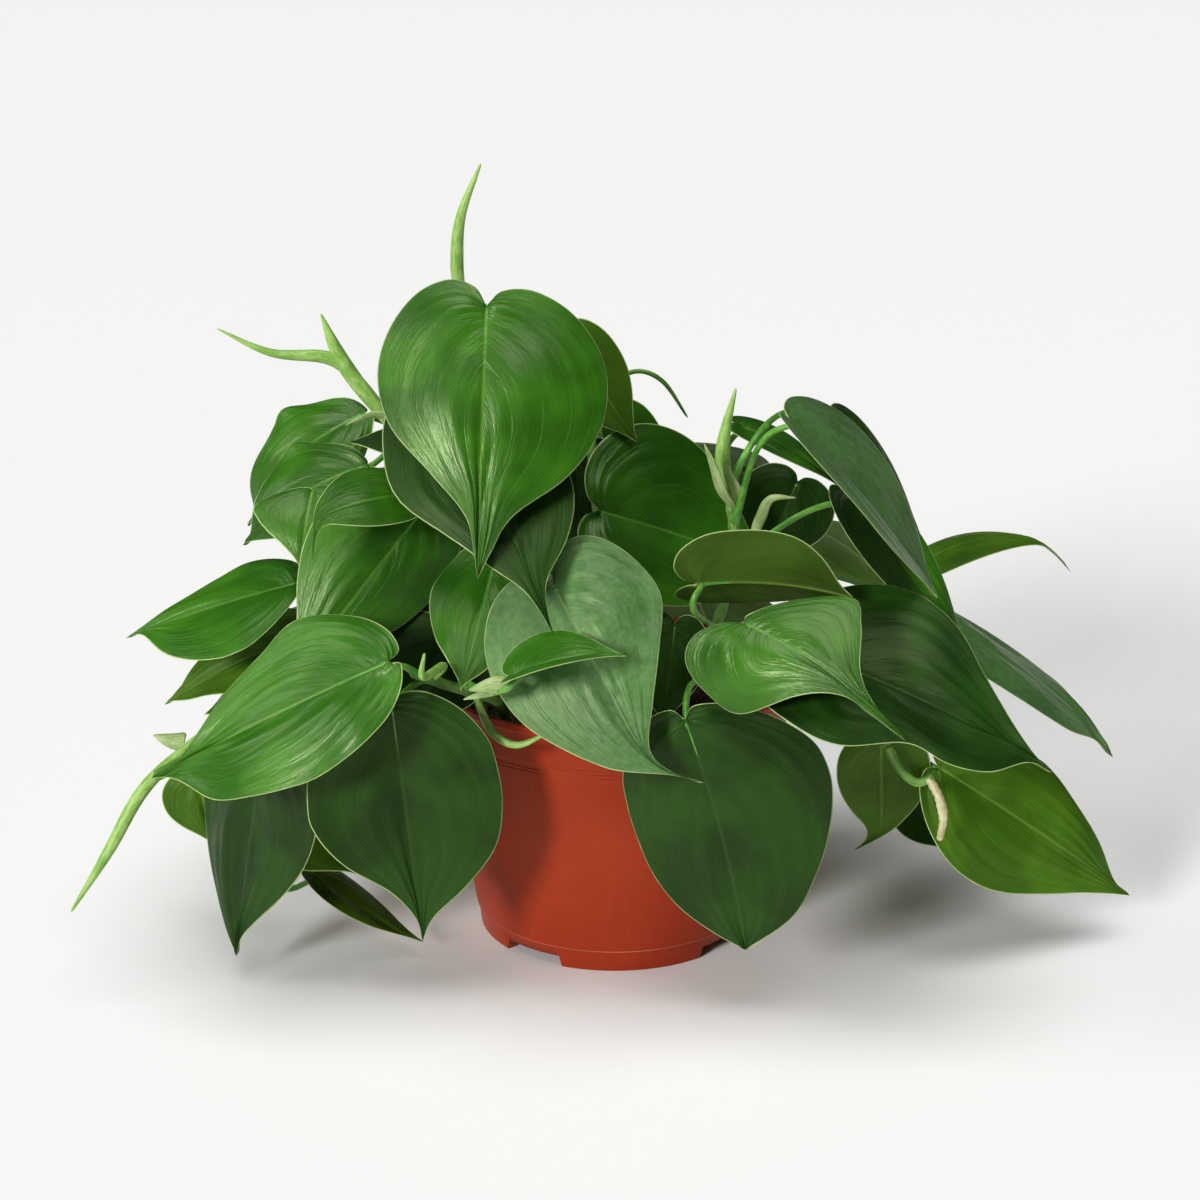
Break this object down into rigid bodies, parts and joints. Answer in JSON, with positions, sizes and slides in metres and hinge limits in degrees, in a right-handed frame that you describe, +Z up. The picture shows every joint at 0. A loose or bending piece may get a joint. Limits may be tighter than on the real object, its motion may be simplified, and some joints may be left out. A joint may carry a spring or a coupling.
{
  "type": "potted heartleaf philodendron",
  "caption": "Trailing house plant with heart-shaped leaves on arching green vines, in a round terracotta-coloured plastic pot with a flared collar.",
  "frame": {"origin": "on the pot's axis, on the plane that its feet stand on", "axes": "+Z up, -Y towards the front of the plant as pictured, +X to the right"},
  "size_m": [0.4346, 0.2807, 0.3262],
  "materials": {
    "pot": "moulded polypropylene, terracotta red, satin",
    "soil": "dark peat and bark potting mix",
    "stem": "smooth green stems, paler at the joints and young growth",
    "leaf_dark": "dark green leaf with a satin sheen",
    "leaf_middle": "green leaf with a glossy sheen",
    "leaf_bright": "young bright green leaf with a glossy sheen",
    "leaf_olive": "yellow green leaf, lit through or seen from below",
    "leaf_grey": "green leaf under a silvery sheen"
  },
  "bodies": {
    "root": {"pot": "pot", "soil": "soil", "vine_crown": "stem", "vine_upper_left": "stem", "vine_left": "stem", "vine_lower_left": "stem", "vine_front_left": "stem", "vine_middle": "stem", "vine_upper_right": "stem", "vine_right": "stem", "vine_lower_right": "stem", "vine_back": "stem", "leaf_crown": "leaf_middle", "leaf_under_crown": "leaf_dark", "leaf_silver": "leaf_grey", "leaf_young": "leaf_bright", "leaf_inner_left": "leaf_middle", "leaf_wavy": "leaf_dark", "leaf_dark_right": "leaf_middle", "leaf_behind_crown": "leaf_olive", "leaf_behind_middle": "leaf_bright", "leaf_underside": "leaf_olive", "leaf_front_right": "leaf_middle", "leaf_large_right": "leaf_dark", "leaf_front_low": "leaf_dark", "leaf_front_left": "leaf_dark", "leaf_big_left": "leaf_bright", "leaf_low_left": "leaf_dark", "leaf_satin_left": "leaf_middle", "leaf_arched_left": "leaf_middle", "leaf_small_dark": "leaf_dark", "leaf_round_left": "leaf_middle", "leaf_shoulder_left": "leaf_middle", "leaf_upper_left": "leaf_middle", "leaf_left": "leaf_bright", "leaf_left_lower": "leaf_olive", "leaf_left_inner": "leaf_olive", "leaf_left_low": "leaf_olive", "leaf_low_olive": "leaf_olive", "leaf_low_strip": "leaf_olive", "leaf_upper_right": "leaf_grey", "leaf_behind_right": "leaf_middle", "leaf_shadow_right": "leaf_dark", "leaf_edge_right": "leaf_middle", "leaf_dark_behind": "leaf_dark", "leaf_far_right_upper": "leaf_olive", "leaf_far_right": "leaf_grey", "leaf_low_right": "leaf_olive", "leaf_hanging_right": "leaf_olive", "leaf_behind_low_right": "leaf_dark", "leaf_inner_dark": "leaf_dark", "leaf_inner_middle": "leaf_dark", "leaf_inner_right": "leaf_dark", "leaf_back_crown": "leaf_middle", "leaf_back_left": "leaf_dark", "leaf_back_right": "leaf_middle", "leaf_back_far_right": "leaf_bright", "leaf_back_far_left": "leaf_middle", "leaf_back_low": "leaf_dark", "leaf_back_low_right": "leaf_middle"}
  },
  "joints": []
}
